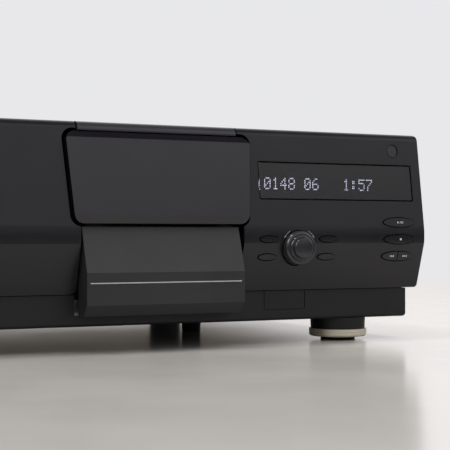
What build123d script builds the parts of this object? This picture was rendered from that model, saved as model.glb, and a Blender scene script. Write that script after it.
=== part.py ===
from build123d import *
import math
import os

os.makedirs("parts", exist_ok=True)

# A two hundred disc player with a drop-down front door and a turning disc carousel.
# Millimetres. X runs across the front, Z up from the floor. Y is the depth behind the
# fascia's top edge, and keep() shifts it so that the origin is under the middle.

# ---- driving dimensions -------------------------------------------------------------
frame_shift = -198.2        # from the fascia's top edge to the middle of the depth
width = 440.0
top_z = 158.5
fascia_low_z = 40.0
body_low_z = 17.5           # height of the feet
fascia_back = 20.0
wall = 2.6                  # moulded plastic wall
upper_lean = 8.0            # degrees, the fascia's upper slope
lower_lean = 17.2           # degrees, the slope below the crease
straight_top_z = 155.0      # height at which the upper slope's depth is zero
top_rounding = 6.0
straight_low_z = 87.2       # where the crest's arc starts
crest_radius = 50.0
crease_z = 74.5

plinth_half = 212.3
plinth_face = 3.0
plinth_top_z = 39.5
notch_half = 61.3           # plinth notch round the door
notch_z = 25.0

door_top_z, door_low_z = 151.3, 88.2
door_half_top, door_half_low = 70.4, 65.9
door_corner = 7.0
window_rise = 3.6           # the window's face before the fascia's slope
top_fold, foot_fold = (3.2, 4.7), (2.0, 5.6)  # how far back, over how much of the height
door_gap = 1.9              # between the door and the opening
channel_x = (-61.0, 63.0)   # the opening round the lower panel
channel_corner = 4.5
panel_half = 59.5           # lower door panel
header_half, header_gap, header_y = 60.5, 1.3, -0.9
hinge_y, hinge_z = -4.0, 31.0

carousel_y = 204.0
slot_count = 200
tray_z = 24.5               # underside of the carousel tray
land_z = 30.5
spindle_z = 88.5
gear_module = 2.5
ring_teeth = 156
pinion_teeth = 14

cover_half = 216.0
cover_top_z = 158.0
cover_back = 406.0
sheet = 1.0                 # steel sheet
floor_z = body_low_z + 1.2  # top of the chassis pan

key_travel = 0.9
key_proud = 0.9
board_face = 13.0
switch_tip = 8.5


# ---- small helpers ------------------------------------------------------------------
def keep(name, shape):
    """Writes one node, moved to the frame."""
    export_step(Pos(0, frame_shift, 0) * shape, f"parts/{name}.step")


def block(x, y, z):
    """A box from its three ranges."""
    size = (x[1] - x[0], y[1] - y[0], z[1] - z[0])
    return Pos(x[0], y[0], z[0]) * Box(*size, align=(Align.MIN,) * 3)


def rod(radius, start, end):
    """A round bar between two points."""
    start, end = Vector(*start), Vector(*end)
    return extrude(Plane(origin=start, z_dir=end - start) * Circle(radius), (end - start).length)


def front_plane(y):
    return Plane(origin=(0, y, 0), x_dir=(1, 0, 0), z_dir=(0, -1, 0))


def through(outline, y):
    """An outline drawn in X and Z, extruded over a range of depth."""
    return extrude(front_plane(y[1]) * outline, y[1] - y[0])


def across(outline, x):
    """An outline drawn in Y and Z, extruded over a range of width."""
    return extrude(Plane.YZ.offset(x[0]) * outline, x[1] - x[0])


def upright(outline, z):
    """An outline drawn in X and Y, extruded over a range of height."""
    return extrude(Plane.XY.offset(z[0]) * outline, z[1] - z[0])


def rectangle(x, z, corner=0.0):
    size = (x[1] - x[0], z[1] - z[0])
    shape = RectangleRounded(*size, corner) if corner else Rectangle(*size)
    return Pos((x[0] + x[1]) / 2, (z[0] + z[1]) / 2) * shape


def polygon(*points):
    return make_face(Polyline(*points, close=True))


def ring(outer, inner, z):
    """A flat ring round the carousel's axis."""
    return upright(Pos(0, carousel_y) * (Circle(outer) - Circle(inner)), z)


def mirrored(shape):
    """The shape and its mirror image across the middle."""
    return [shape, mirror(shape, Plane.YZ)]


# ---- the fascia's curved front -------------------------------------------------------
def slope(z):
    """Depth of the upper straight slope at a height."""
    return -(straight_top_z - z) * math.tan(math.radians(upper_lean))


lean = math.radians(upper_lean)
arc_middle_z = straight_low_z - crest_radius * math.sin(lean)
arc_middle_y = slope(straight_low_z) + crest_radius * math.cos(lean)
crest_y = arc_middle_y - crest_radius
crease_turn = math.asin((arc_middle_z - crease_z) / crest_radius)
crease_y = arc_middle_y - crest_radius * math.cos(crease_turn)


def surface(z):
    """Depth of the fascia's outer face at a height."""
    if z >= straight_low_z:
        return slope(z)
    if z >= crease_z:
        return arc_middle_y - math.sqrt(crest_radius ** 2 - (z - arc_middle_z) ** 2)
    return crease_y + (crease_z - z) * math.tan(math.radians(lower_lean))


def fascia_section(inset, back, low=fascia_low_z, top=top_z, rounding=top_rounding):
    """The side outline, with its front moved back by inset."""
    foot = (surface(low) + inset, low)
    crease = (crease_y + inset, crease_z)
    crest = (crest_y + inset, arc_middle_z)
    shoulder = (slope(straight_low_z) + inset, straight_low_z)
    peak = (slope(top) + inset, top)
    outline = [Line(foot, crease), ThreePointArc(crease, crest, shoulder),
               Line(shoulder, peak), Line(peak, (back, top)),
               Line((back, top), (back, low)), Line((back, low), foot)]
    face = make_face(outline)
    corner = face.vertices().sort_by_distance((peak[0], peak[1], 0))[0]
    return fillet(corner, rounding)


def fascia_band(outer, inner, x=(-width / 2, width / 2)):
    """A sheet that follows the fascia between two insets."""
    full = across(fascia_section(outer, 60, 42, 157, 1.0), x)
    return full - across(fascia_section(inner, 61, 41, 158, 1.0), (x[0] - 1, x[1] + 1))


# ---- the door's outline ---------------------------------------------------------------
def door_plane(rise):
    """A plane parallel to the upper slope, rise in front of it, y running up the slope."""
    normal = Vector(0, -math.cos(lean), math.sin(lean))
    return Plane(origin=Vector(0, 0, straight_top_z) + normal * rise,
                 x_dir=(1, 0, 0), z_dir=normal)


def along_slope(z):
    return (z - straight_top_z) / math.cos(lean)


def door_shape(side, top, low, corner=door_corner):
    """The window's outline with its sides, top and foot drawn in by these margins."""
    y_top, y_low = along_slope(door_top_z) - top, along_slope(door_low_z) + low
    taper = (door_half_top - door_half_low) / (door_top_z - door_low_z)
    half_top = door_half_top - side - taper * top
    half_low = door_half_low - side + taper * low
    shape = polygon((-half_top, y_top), (half_top, y_top), (half_low, y_low), (-half_low, y_low))
    return fillet(shape.vertices(), corner)


def opening_shape():
    """The fascia's hole in front view: round the window, then round the lower panel."""
    half_top, half_low = door_half_top + door_gap + 0.4, door_half_low + door_gap
    low, top = door_low_z - door_gap, door_top_z + door_gap + 0.5
    shape = polygon((-half_top, top), (half_top, top), (half_low, low), (-half_low, low))
    shape = fillet(shape.vertices(), door_corner + 1.0)
    shape += rectangle(channel_x, (fascia_low_z - 5, low + 10))
    r = channel_corner
    for x, side in ((channel_x[0], -1), (channel_x[1], 1)):
        flare = rectangle(sorted((x, x + side * r)), (fascia_low_z - 5, fascia_low_z + r))
        shape += flare - Pos(x + side * r, fascia_low_z + r) * Circle(r)
    return shape


# ---- positions of what sits in the fascia ----------------------------------------------
display_x, display_z = (77.0, 211.8), (106.3, 134.5)
eye_x, eye_z, eye_radius = 196.1, 145.3, 5.05
knob_x, knob_z = 107.8, 71.0
small_key = (14.6, 4.4)     # oval keys beside the knob
large_key = (28.0, 6.8)     # oval transport keys
key_gap = 0.7
key_flange = 1.3            # how far the flange reaches past the key's face
small_keys = {"key_upper_left": (83.1, 77.5), "key_upper_right": (133.0, 77.5),
              "key_lower_left": (83.1, 64.4), "key_lower_right": (133.0, 64.4)}
large_keys = {"play_key": (196.6, 90.2), "stop_key": (196.6, 77.3)}
skip_x, skip_z = 196.6, 64.4
power_x, power_z = -196.6, 64.4
lamp_x, lamp_z = -196.6, 77.3


def oval(size, grow=0.0):
    return Ellipse(size[0] / 2 + grow, size[1] / 2 + grow)


def make_fascia():
    half = width / 2
    outer = across(fascia_section(0, fascia_back), (-half, half))
    outer &= through(rectangle((-half, half), (fascia_low_z, top_z), 2.5), (-30, 40))
    inner = across(fascia_section(wall, fascia_back + 5, fascia_low_z + wall, top_z - wall, 3.0),
                   (-half + wall, half - wall))
    jamb = through(offset(opening_shape(), wall), (-30, fascia_back))
    jamb &= across(fascia_section(0.4, fascia_back), (-half, half))
    body = outer - inner + jamb - through(opening_shape(), (-30, fascia_back + 5))
    body -= through(rectangle((-header_half - header_gap, header_half + header_gap), (150, top_z + 5)),
                    (-30, 8.0))
    # windows, keys and knob
    body -= through(rectangle(display_x, display_z, 1.5), (-30, fascia_back))
    body -= rod(eye_radius, (eye_x, -30, eye_z), (eye_x, fascia_back, eye_z))
    body -= rod(13.3, (knob_x, -30, knob_z), (knob_x, 6, knob_z))
    for x, z in small_keys.values():
        body -= through(Pos(x, z) * oval(small_key, key_gap), (-30, 10))
    for x, z in [*large_keys.values(), (skip_x, skip_z), (power_x, power_z)]:
        body -= through(Pos(x, z) * oval(large_key, key_gap), (-30, 10))
    body -= rod(2.05, (lamp_x, -30, lamp_z), (lamp_x, 10, lamp_z))
    # stiffening ribs behind the plain left half
    ribs = [rectangle((x - 0.6, x + 0.6), (43.0, 152.0)) for x in (-165.0, -135.0, -105.0)]
    ribs.append(rectangle((-217.0, -76.0), (107.4, 108.6)))
    for rib in ribs:
        body += fascia_band(wall - 0.1, wall + 3.0) & through(rib, (-30, 30))
    # bosses that carry the control board
    for x, z in ((79.0, 149.0), (212.0, 150.0), (160.0, 50.0), (212.0, 50.0)):
        body += rod(3.0, (x, surface(z) + 1.5, z), (x, board_face - 0.05, z))
    return body


def make_plinth():
    y = (plinth_face, 21.5)
    low, top = body_low_z, plinth_top_z
    outer = through(rectangle((-plinth_half, plinth_half), (low, top + 6), 2.8), y)
    outer &= block((-plinth_half, plinth_half), y, (low, top))
    outer = fillet(outer.edges().filter_by(Axis.Z).group_by(Axis.Y)[0], 2.4)
    shell = outer - block((-plinth_half + wall, plinth_half - wall),
                          (plinth_face + wall, 30), (low - 1, top - 2))
    shell -= block((-notch_half, notch_half), (0, 30), (notch_z, top + 1))
    shell -= block((-notch_half, notch_half), (plinth_face + wall, 30), (low - 1, top + 1))
    tab = rectangle((85.6, 120.6), (25.3, top + 6), 2.0)
    groove = tab - rectangle((86.2, 120.0), (25.9, top + 5.4), 1.6)
    return shell - through(groove, (plinth_face - 1, plinth_face + 0.6))


def make_header():
    section = polygon((header_y, 152.2), (header_y, top_z), (7.8, top_z), (7.8, 152.2))
    corner = section.vertices().sort_by_distance((header_y, top_z, 0))[0]
    return across(fillet(corner, 5.6), (-header_half, header_half))


# ---- door -------------------------------------------------------------------------------
def slope_point(rise, along):
    """Y and Z of a point in front of the upper slope."""
    return (along * math.sin(lean) - rise * math.cos(lean),
            straight_top_z + along * math.cos(lean) + rise * math.sin(lean))


def make_door_window():
    """A smoked cup with straight sides, its face folded back along the top and the foot."""
    top, low = along_slope(door_top_z), along_slope(door_low_z)
    outline = [(-1.0, low), (window_rise - foot_fold[0], low), (window_rise, low + foot_fold[1]),
               (window_rise, top - top_fold[1]), (window_rise - top_fold[0], top), (-1.0, top)]
    cup = across(polygon(*[slope_point(*place) for place in outline]), (-80, 80))
    cup &= extrude(door_plane(-1.0) * door_shape(0, 0, 0), 8.0)
    hollow = extrude(door_plane(-2.0) * door_shape(2.6, 6.4, 7.2, 5.0), 3.4)
    return cup - hollow


def make_door_frame():
    outer = extrude(door_plane(-6.5) * door_shape(0.1, 0.1, 0.1), 5.45)
    inner = extrude(door_plane(-9.0) * door_shape(4.0, 4.5, 6.0, 4.0), 9.0)
    frame = outer - inner
    for x in (-50.0, 50.0):
        frame += block((x - 6, x + 6), (-4.3, -0.6), (76.0, 92.0))
    return frame + make_door_striker()


panel_section = ((-0.2, 25.4), (-10.5, 25.4), (-17.3, 33.0), (-17.3, 55.0), (-6.9, 86.2),
                 (-0.2, 86.2))


def make_door_panel():
    outer = across(polygon(*panel_section), (-panel_half, panel_half))
    hollow = polygon((1, 27.8), (-9.4, 27.8), (-14.9, 34.0), (-14.9, 54.6), (-5.2, 83.8), (1, 83.8))
    body = outer - across(hollow, (-panel_half + 2.4, panel_half - 2.4))
    body -= block((-57.3, 57.3), (0.15, 2), (20, 90))
    body -= block((-56.5, 56.5), (-5.2, 1), (75.8, 90))
    for side in (-1, 1):
        notch = sorted((side * 45.1, side * 50.9))
        body -= block(notch, (-8.6, 1), (24, 28))
        for x in ((43.0, 45.0), (51.0, 53.0)):
            if side > 0 and x[0] < 50:
                continue                  # the toothed quadrant stands there
            rib = outer & across(polygon((-15.5, 27.0), (-4.0, 27.0), (-4.0, 35.0), (-15.5, 40.0)),
                                 sorted((side * x[0], side * x[1])))
            rib += rod(4.0, (side * x[0], hinge_y, hinge_z), (side * x[1], hinge_y, hinge_z))
            body += rib
        body -= rod(1.95, (side * 42, hinge_y, hinge_z), (side * 54, hinge_y, hinge_z))
    # a groove that holds the bright line
    return body - block((-57.0, 57.0), (-18, -16.9), (47.6, 48.4))


def make_hinge_pins():
    return mirrored(rod(1.95, (42.0, hinge_y, hinge_z), (53.5, hinge_y, hinge_z)))


arm_x = (45.6, 50.4)


def hinge_bracket(side):
    """An arm over the plinth's rail into the hollow of the panel, on a foot on the chassis."""
    arm = polygon((5.9, floor_z), (8.6, floor_z), (9.4, 36.5), (-4.0, 35.0), (-4.0, 27.0), (5.9, 26.4))
    body = across(arm, arm_x) + rod(4.0, (arm_x[0], hinge_y, hinge_z), (arm_x[1], hinge_y, hinge_z))
    if side > 0:
        body += across(polygon((4.9, 30.0), (9.4, 30.0), (9.4, 49.0), (-1.0, 49.0), (-1.0, 41.0)), arm_x)
        body -= rod(1.55, (30, damper_y, damper_z), (60, damper_y, damper_z))
        body += block((34.0, arm_x[1]), (5.9, 30.0), (floor_z, floor_z + 1.5))
    body += block((arm_x[0] - 8, arm_x[1]), (5.9, 30.0), (floor_z, floor_z + 1.5))
    body -= rod(2.0, (30, hinge_y, hinge_z), (60, hinge_y, hinge_z))
    return body if side > 0 else mirror(body, Plane.YZ)


# ---- gears --------------------------------------------------------------------------------
def gear_outline(teeth, module, backlash=0.16):
    """A stub-toothed involute gear, its first tooth's middle on the x axis."""
    pitch_r = teeth * module / 2
    base_r = pitch_r * math.cos(math.radians(20))
    tip_r, root_r = pitch_r + 0.8 * module, pitch_r - 1.05 * module

    def half_angle(r):
        pressure = math.acos(min(base_r / r, 1.0))
        at_pitch = math.tan(math.radians(20)) - math.radians(20)
        at_r = math.tan(pressure) - pressure
        return math.pi / 2 / teeth - backlash * module / 2 / pitch_r + at_pitch - at_r

    radii = (root_r, tip_r) if teeth > 40 else (root_r, pitch_r, tip_r)
    flank = [(r, half_angle(r)) for r in radii]
    points = []
    for k in range(teeth):
        middle = 2 * math.pi * k / teeth
        points += [(r, middle - half) for r, half in flank]
        points += [(r, middle + half) for r, half in reversed(flank)]
    return polygon(*[(r * math.cos(a), r * math.sin(a)) for r, a in points])


sector_teeth, damper_teeth = 20, 10
damper_angle = 60.0         # direction from the hinge to the damper's pinion
damper_span = (sector_teeth + damper_teeth) / 2 + 0.15
damper_y = hinge_y + damper_span * math.cos(math.radians(damper_angle))
damper_z = hinge_z + damper_span * math.sin(math.radians(damper_angle))
sector_x = (41.8, 44.6)


def make_door_sector():
    """A toothed quadrant round the hinge that turns the damper as the door moves."""
    wheel = Rot(0, 0, damper_angle) * gear_outline(sector_teeth, 1.0)
    wedge = polygon((0, 0), *[(15 * math.cos(math.radians(a)), 15 * math.sin(math.radians(a)))
                              for a in range(-28, 78, 15)])
    body = across(Pos(hinge_y, hinge_z) * ((wheel & wedge) + Circle(3.1)), sector_x)
    body += across(polygon((-9.0, 28.0), (-4.0, 28.0), (-4.0, 34.0), (-14.7, 42.0),
                            (-14.7, 34.4)), sector_x)
    return body - rod(1.95, (40, hinge_y, hinge_z), (50, hinge_y, hinge_z))


def make_damper_pinion():
    turn = damper_angle + 180 + 180 / damper_teeth
    outline = Rot(0, 0, turn) * gear_outline(damper_teeth, 1.0)
    body = across(Pos(damper_y, damper_z) * outline, (42.0, 44.4))
    return body + rod(1.5, (36.0, damper_y, damper_z), (49.5, damper_y, damper_z))


def make_damper_case():
    body = rod(6.0, (34.5, damper_y, damper_z), (41.4, damper_y, damper_z))
    body += block((35.5, 40.5), (6.4, 9.0), (floor_z + 1.5, damper_z))
    return body - rod(1.55, (35.5, damper_y, damper_z), (50, damper_y, damper_z))


# ---- latch ----------------------------------------------------------------------------------
latch_x, latch_z = 52.0, 145.5


def make_latch_case():
    body = block((latch_x - 5, latch_x + 5), (11.1, 19.5), (latch_z - 5, door_top_z + door_gap + 0.48))
    body -= rod(2.05, (latch_x, 5, latch_z), (latch_x, 17.5, latch_z))
    return body


def make_latch_plunger():
    return (rod(2.0, (latch_x, 8.4, latch_z), (latch_x, 14.5, latch_z))
            + block((latch_x - 3, latch_x + 3), (7.2, 8.4), (latch_z - 2.4, latch_z + 2.4)))


def make_door_striker():
    return block((latch_x - 3.5, latch_x + 3.5), (4.0, 6.8), (143.0, 148.0)) + \
        across(polygon((2.0, 141.0), (6.8, 143.0), (6.8, 146.5), (6.0, 148.4), (2.0, 148.0)),
               (latch_x - 2.0, latch_x + 2.0))


# ---- display, keys and knob --------------------------------------------------------------------
def make_display_window():
    x, z = display_x, display_z
    gap, lip, bevel = 0.2, 3.0, 0.9
    face = fascia_band(0.25, wall + 1.3) & through(
        rectangle((x[0] + gap, x[1] - gap), (z[0] + gap, z[1] - gap), 1.3), (-30, 30))
    face = chamfer(face.faces().sort_by(Axis.Y)[0].edges(), bevel)
    flange = fascia_band(wall + 0.1, wall + 1.3) & through(
        rectangle((x[0] - lip, x[1] + lip), (z[0] - lip, z[1] + lip)), (-30, 30))
    return face + flange


def make_display_tube():
    glass = block((84.0, 204.0), (2.2, 9.0), (108.5, 132.5))
    return glass + rod(1.6, (204.0, 6.0, 112.0), (207.5, 6.0, 112.0))


def make_display_holder():
    body = block((81.0, 209.0), (9.1, board_face - 0.05), (105.5, 135.5))
    return body - block((88.0, 200.0), (8, 20), (111.0, 130.0))


def make_eye():
    lens = rod(eye_radius - 0.35, (eye_x, -10, eye_z), (eye_x, 3.2, eye_z)) & fascia_band(0.5, 20)
    return lens + rod(6.6, (eye_x, 2.4, eye_z), (eye_x, 4.6, eye_z))


def key_cap(outline, x, z, stem_x=None):
    """A key whose face follows the fascia, with a flange behind the wall and a stem."""
    stem_x = x if stem_x is None else stem_x
    flange = max(surface(z + 5), surface(z - 5)) + wall + 0.5
    cap = through(Pos(x, z) * outline, (-30, flange))
    cap &= across(fascia_section(-key_proud, 40), (x - 20, x + 20))
    return cap, flange, rod(1.6, (stem_x, flange, z), (stem_x, switch_tip - key_travel - 0.1, z))


def make_key(size, x, z):
    cap, flange, stem = key_cap(oval(size), x, z)
    plate = through(Pos(x, z) * oval(size, key_flange), (flange, flange + 1.0))
    return cap + plate + stem


def make_half_key(side):
    """One half of the split skip key."""
    half = oval(large_key) & (Pos(side * 10.2, 0) * Rectangle(19.8, 20))
    stem_x = skip_x + side * 7.0
    cap, flange, stem = key_cap(half, skip_x, skip_z, stem_x)
    grown = oval(large_key, key_flange) & (Pos(side * 10.3, 0) * Rectangle(20.0, 20))
    return cap + through(Pos(skip_x, skip_z) * grown, (flange, flange + 1.0)) + stem


def key_places():
    """Where a tact switch stands behind each key's stem."""
    places = [*small_keys.values(), *large_keys.values(), (power_x, power_z)]
    return places + [(skip_x - 7.0, skip_z), (skip_x + 7.0, skip_z)]


def make_switches():
    bodies = []
    for x, z in key_places():
        body = block((x - 3, x + 3), (switch_tip + 1, board_face), (z - 3, z + 3))
        bodies.append(body + rod(1.75, (x, switch_tip, z), (x, switch_tip + 1, z)))
    return bodies


def make_control_board():
    """The boards behind the right and left halves of the fascia, and the tube's holder."""
    board = block((76.0, 216.0), (board_face, board_face + 1.6), (46.0, 154.5))
    board -= rod(5.0, (knob_x, 10, knob_z), (knob_x, 16, knob_z))
    small = block((-214.0, -180.0), (board_face, board_face + 1.6), (46.0, 92.0))
    socket = block((-205.0, -188.0), (board_face + 1.6, board_face + 7.0), (50.0, 58.0))
    return [board, small + socket, make_display_holder()]


def make_knob():
    """Rounded rim, rounded step and raised cap with a dished face, turned about the shaft."""
    face_middle, face_rim, cap_edge = (0.0, -17.7), (6.5, -18.2), (7.4, -17.4)
    cap_foot, groove, rim_edge = (7.6, -15.6), (9.5, -14.4), (12.5, -12.0)
    inside = Polyline(rim_edge, (12.5, 1.0), (11.0, 1.0), (11.0, -11.2), (5.0, -11.2), (5.0, 1.0),
                      (3.0, 1.0), (3.0, -8.6), (0.0, -8.6), face_middle)
    profile = make_face([*inside.edges(),
                         ThreePointArc(face_middle, (3.3, -17.85), face_rim),
                         ThreePointArc(face_rim, (7.1, -18.05), cap_edge),
                         Line(cap_edge, cap_foot),
                         ThreePointArc(cap_foot, (8.9, -15.5), groove),
                         ThreePointArc(groove, (11.6, -14.3), rim_edge)])
    return Pos(knob_x, 0, knob_z) * revolve(profile, Axis.Y, 360)


def make_encoder():
    body = block((knob_x - 6.5, knob_x + 6.5), (5.0, board_face - 0.05), (knob_z - 6.5, knob_z + 6.5))
    body += rod(4.5, (knob_x, 2.0, knob_z), (knob_x, 5.0, knob_z))
    return body - rod(3.05, (knob_x, 0, knob_z), (knob_x, 11.0, knob_z))


# ---- carousel --------------------------------------------------------------------------------------
def polar_points(count, pattern, phase=0.0):
    """Points of an outline that repeats round the carousel, from radius and part of a pitch."""
    pitch = 2 * math.pi / count
    places = [(r, (k + part) * pitch + phase) for k in range(count) for r, part in pattern]
    return [(r * math.cos(a), r * math.sin(a)) for r, a in places]


def make_tray():
    """One moulding: toothed rim, grooved floor, notched outer comb and locating skirt."""
    centre = Pos(0, carousel_y)
    disc = gear_outline(ring_teeth, gear_module) - Circle(102.0)
    body = upright(centre * disc, (tray_z, land_z))
    body -= ring(154.0, 118.0, (land_z - 3.0, land_z + 1))
    # the comb's notches narrow outwards, so each centres the edge of one disc
    notch = polygon(*polar_points(slot_count, ((162.0, -0.18), (162.0, 0.18), (184.0, 0.5))))
    body += upright(centre * (Circle(190.0) - notch), (land_z, 46.0))
    return body + ring(122.0, 119.4, (21.0, tray_z))


def make_disc_rack():
    """The inner ring of tall wedge fins that hold the discs upright."""
    body = ring(101.8, 68.0, (tray_z, land_z))
    pitch = 2 * math.pi / slot_count
    slot = 1.5
    outer_r, inner_r = 99.0, 75.0
    outer_half = pitch / 2 - slot / 2 / outer_r
    wedge = polygon((inner_r, 0), (outer_r * math.cos(outer_half), -outer_r * math.sin(outer_half)),
                    (outer_r * math.cos(outer_half), outer_r * math.sin(outer_half)))
    fins = [Rot(0, 0, math.degrees((k + 0.5) * pitch)) * wedge for k in range(slot_count)]
    tall = [extrude(Plane.XY.offset(land_z) * fin, 72.0 - land_z) for fin in fins]
    return body.fuse(*[Pos(0, carousel_y) * fin for fin in tall])


motor_span = (ring_teeth + pinion_teeth) * gear_module / 2 + 0.25
motor_turn = 225.0          # direction from the carousel's middle to its motor
motor_x = motor_span * math.cos(math.radians(motor_turn))
motor_y = carousel_y + motor_span * math.sin(math.radians(motor_turn))


def make_carousel_pinion():
    # the gap between two of its teeth faces the tooth of the rim on the line of centres
    mesh = motor_turn * ring_teeth / 360
    offset_teeth = mesh - round(mesh)
    turn = motor_turn + 180 + 180 / pinion_teeth + offset_teeth * 360 / pinion_teeth
    outline = Rot(0, 0, turn) * gear_outline(pinion_teeth, gear_module)
    body = upright(Pos(motor_x, motor_y) * outline, (tray_z + 0.5, land_z - 0.5))
    return body + rod(2.0, (motor_x, motor_y, 22.0), (motor_x, motor_y, 40.0))


def make_carousel_motor():
    body = rod(13.0, (motor_x, motor_y, 33.0), (motor_x, motor_y, 62.0))
    body += upright(Pos(motor_x, motor_y) * Rot(0, 0, motor_turn) * Pos(10, 0) * Rectangle(46, 26),
                    (31.0, 33.0))
    post = Pos(motor_x, motor_y) * Rot(0, 0, motor_turn) * Pos(28, 0) * Rectangle(8, 26)
    body += upright(post, (floor_z, 31.0))
    return body - rod(2.05, (motor_x, motor_y, 30.0), (motor_x, motor_y, 41.0))


def make_guide_ring():
    """The fixed ring that carries and centres the carousel."""
    body = ring(119.0, 108.0, (floor_z, 21.6)) + ring(119.0, 113.0, (21.6, tray_z - 0.3))
    for k in range(6):
        body -= Pos(0, carousel_y) * Rot(0, 0, 60 * k) * Pos(110.4, 0, 0) * Cylinder(1.6, 60)
    return body


# ---- player mechanism in the carousel's middle -------------------------------------------------------
lens_start, lens_travel = 24.0, 33.0


def mech_block(x, y, z):
    """A box with its depth counted from the carousel's middle."""
    return block(x, (carousel_y + y[0], carousel_y + y[1]), z)


def mech_rod(radius, x, y, z):
    """A bar along X beside the carousel's middle."""
    return rod(radius, (x[0], carousel_y + y, z), (x[1], carousel_y + y, z))


def make_mech_plate():
    outline = polygon((-46, floor_z), (46, floor_z), (65, 66), (65, 112), (40, 142), (-20, 142),
                      (-46, 116))
    body = across(Pos(carousel_y, 0) * outline, (6.0, 8.5))
    body -= mech_rod(7.0, (5, 9), 0, spindle_z)
    body -= mech_block((5, 9), (17.0, 62.4), (spindle_z - 8, spindle_z + 8))
    body += mech_block((8.5, 30.0), (-46, 46), (floor_z, floor_z + 2.0))
    for y in (-36.0, 37.0):
        gusset = polygon((8.5, floor_z), (28.0, floor_z), (8.5, 44.0))
        body += through(gusset, (carousel_y + y - 1.2, carousel_y + y + 1.2))
    for y in ((9.0, 15.0), (62.8, 65.0)):
        for z in (spindle_z - 14.5, spindle_z + 14.5):
            body += mech_block((8.5, 15.5), y, (z - 2.6, z + 2.6))
            body -= rod(1.5, (12.4, carousel_y + y[0] - 1, z), (12.4, carousel_y + y[1] + 1, z))
    return body


def make_guide_rods():
    return [rod(1.5, (12.4, carousel_y + 9.0, z), (12.4, carousel_y + 65.0, z))
            for z in (spindle_z - 14.5, spindle_z + 14.5)]


def make_spindle_motor():
    body = mech_rod(8.6, (8.5, 18.5), 0, spindle_z) + mech_rod(6.0, (6.4, 8.5), 0, spindle_z)
    return body - mech_rod(1.05, (5, 17.5), 0, spindle_z)


def make_turntable():
    body = mech_rod(14.5, (0.8, 3.4), 0, spindle_z) + mech_rod(1.0, (3.4, 16.5), 0, spindle_z)
    cone = Plane(origin=(0.8, carousel_y, spindle_z), z_dir=(-1, 0, 0))
    return body + loft([cone * Circle(7.4), cone.offset(1.7) * Circle(5.6)])


rack_low_z = spindle_z - 22.5
sled_gear_teeth = 16
sled_gear_y = 26.0
sled_gear_z = rack_low_z + 1.0 - sled_gear_teeth / 2 - 0.15


def make_pickup_sled():
    """Carriage on two rods, lens turret through the plate, rack along its foot."""
    y0 = lens_start
    body = mech_block((9.0, 16.0), (y0 - 8, y0 + 5.5), (spindle_z - 19.0, spindle_z + 18.0))
    body += mech_rod(4.6, (3.2, 10.0), y0, spindle_z)
    for z in (spindle_z - 14.5, spindle_z + 14.5):
        body -= rod(1.56, (12.4, carousel_y, z), (12.4, carousel_y + 60, z))
    pitch = math.pi
    flank = math.tan(math.radians(20))
    half = pitch / 4 - 0.12
    start, end = y0 - 36.0, y0 + 5.5
    teeth = [(rack_low_z + 2.25, start)]
    first = math.ceil((start + 1.5 - sled_gear_y) / pitch - 0.5)
    last = math.floor((end - 1.5 - sled_gear_y) / pitch - 0.5)
    for k in range(first, last + 1):
        middle = sled_gear_y + (k + 0.5) * pitch
        tip, root = half - flank, half + 1.25 * flank
        teeth += [(rack_low_z + 2.25, middle - root), (rack_low_z, middle - tip),
                  (rack_low_z, middle + tip), (rack_low_z + 2.25, middle + root)]
    teeth += [(rack_low_z + 2.25, end), (rack_low_z + 4.5, end), (rack_low_z + 4.5, start)]
    outline = polygon(*[(carousel_y + y, z) for z, y in teeth])
    return body + across(outline, (10.0, 14.0))


def make_lens():
    return mech_rod(2.6, (2.4, 3.2), lens_start, spindle_z)


def make_sled_gear():
    outline = Rot(0, 0, 90) * gear_outline(sled_gear_teeth, 1.0)
    body = across(Pos(carousel_y + sled_gear_y, sled_gear_z) * outline, (10.2, 13.8))
    return body + mech_rod(1.2, (9.2, 22.0), sled_gear_y, sled_gear_z)


def make_sled_motor():
    body = mech_rod(8.0, (15.0, 26.0), sled_gear_y, sled_gear_z)
    body += mech_block((15.0, 18.0), (sled_gear_y - 6, sled_gear_y + 6), (floor_z + 2, sled_gear_z))
    return body - mech_rod(1.25, (9, 23.0), sled_gear_y, sled_gear_z)


clamp_axis_x, clamp_axis_z = -24.0, 122.0


def make_clamp_stand():
    body = mech_block((-30.0, -27.6), (-22, 22), (floor_z, 127.0))
    body += mech_block((-46.0, -30.0), (-22, 22), (floor_z, floor_z + 2.0))
    for y in ((-13.0, -10.0), (10.0, 13.0)):
        body += mech_block((-28.0, -20.5), y, (117.0, 127.0))
        start, end = carousel_y + y[0] - 1, carousel_y + y[1] + 1
        body -= rod(1.5, (clamp_axis_x, start, clamp_axis_z), (clamp_axis_x, end, clamp_axis_z))
    return body


def make_clamp_pin():
    return rod(1.5, (clamp_axis_x, carousel_y - 13.5, clamp_axis_z),
               (clamp_axis_x, carousel_y + 13.5, clamp_axis_z))


def make_clamp_arm():
    outline = polygon((-10.4, 80.0), (-8.2, 80.0), (-8.2, 121.0), (-10.5, 124.0), (-24.0, 125.5),
                      (-24.0, 118.5), (-10.4, 118.0))
    y = (carousel_y - 8, carousel_y + 8)
    axis = ((clamp_axis_x, y[0], clamp_axis_z), (clamp_axis_x, y[1], clamp_axis_z))
    body = through(outline, y) + rod(3.5, *axis)
    body -= rod(1.55, (clamp_axis_x, y[0] - 1, clamp_axis_z), (clamp_axis_x, y[1] + 1, clamp_axis_z))
    return body - mech_rod(3.08, (-12, -7), 0, spindle_z)


def make_clamp_puck():
    body = mech_rod(14.0, (-6.4, -1.1), 0, spindle_z) - mech_rod(8.6, (-4.0, 0), 0, spindle_z)
    body += mech_rod(3.0, (-11.2, -6.4), 0, spindle_z)
    return body + mech_rod(5.0, (-12.6, -11.0), 0, spindle_z)


lever_y, lever_z = 46.0, 25.0
finger_y, finger_z = 61.5, 66.0


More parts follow.
